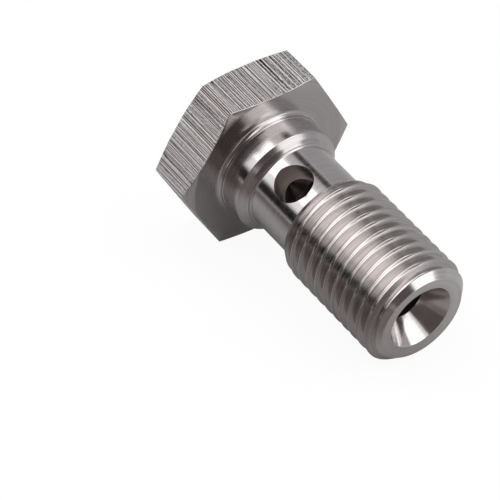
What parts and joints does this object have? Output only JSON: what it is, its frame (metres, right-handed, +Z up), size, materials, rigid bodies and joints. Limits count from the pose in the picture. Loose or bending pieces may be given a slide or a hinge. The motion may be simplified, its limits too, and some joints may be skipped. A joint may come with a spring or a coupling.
{
  "type": "banjo bolt",
  "caption": "Hollow hexagon-head bolt that clamps a banjo ring fitting and carries fluid from its cross hole in the waisted neck, along its axis, to its threaded end.",
  "frame": {"origin": "on the table under the bolt, at the centre of its bounding box's base", "axes": "The bolt lies at rest on the lower edge of one hexagon flat and on the last crest of its thread. +X runs from the head to the threaded end, which dips 7.1 degrees; +Z is up; the cross hole's nearer mouth faces up and towards -Y."},
  "size_m": [0.0256, 0.0164, 0.0146],
  "materials": {
    "stainless_steel": "bare: drawn hexagon flats, turned faces, polished collar and neck"
  },
  "bodies": {
    "root": {"banjo_bolt": "stainless_steel"}
  },
  "joints": []
}
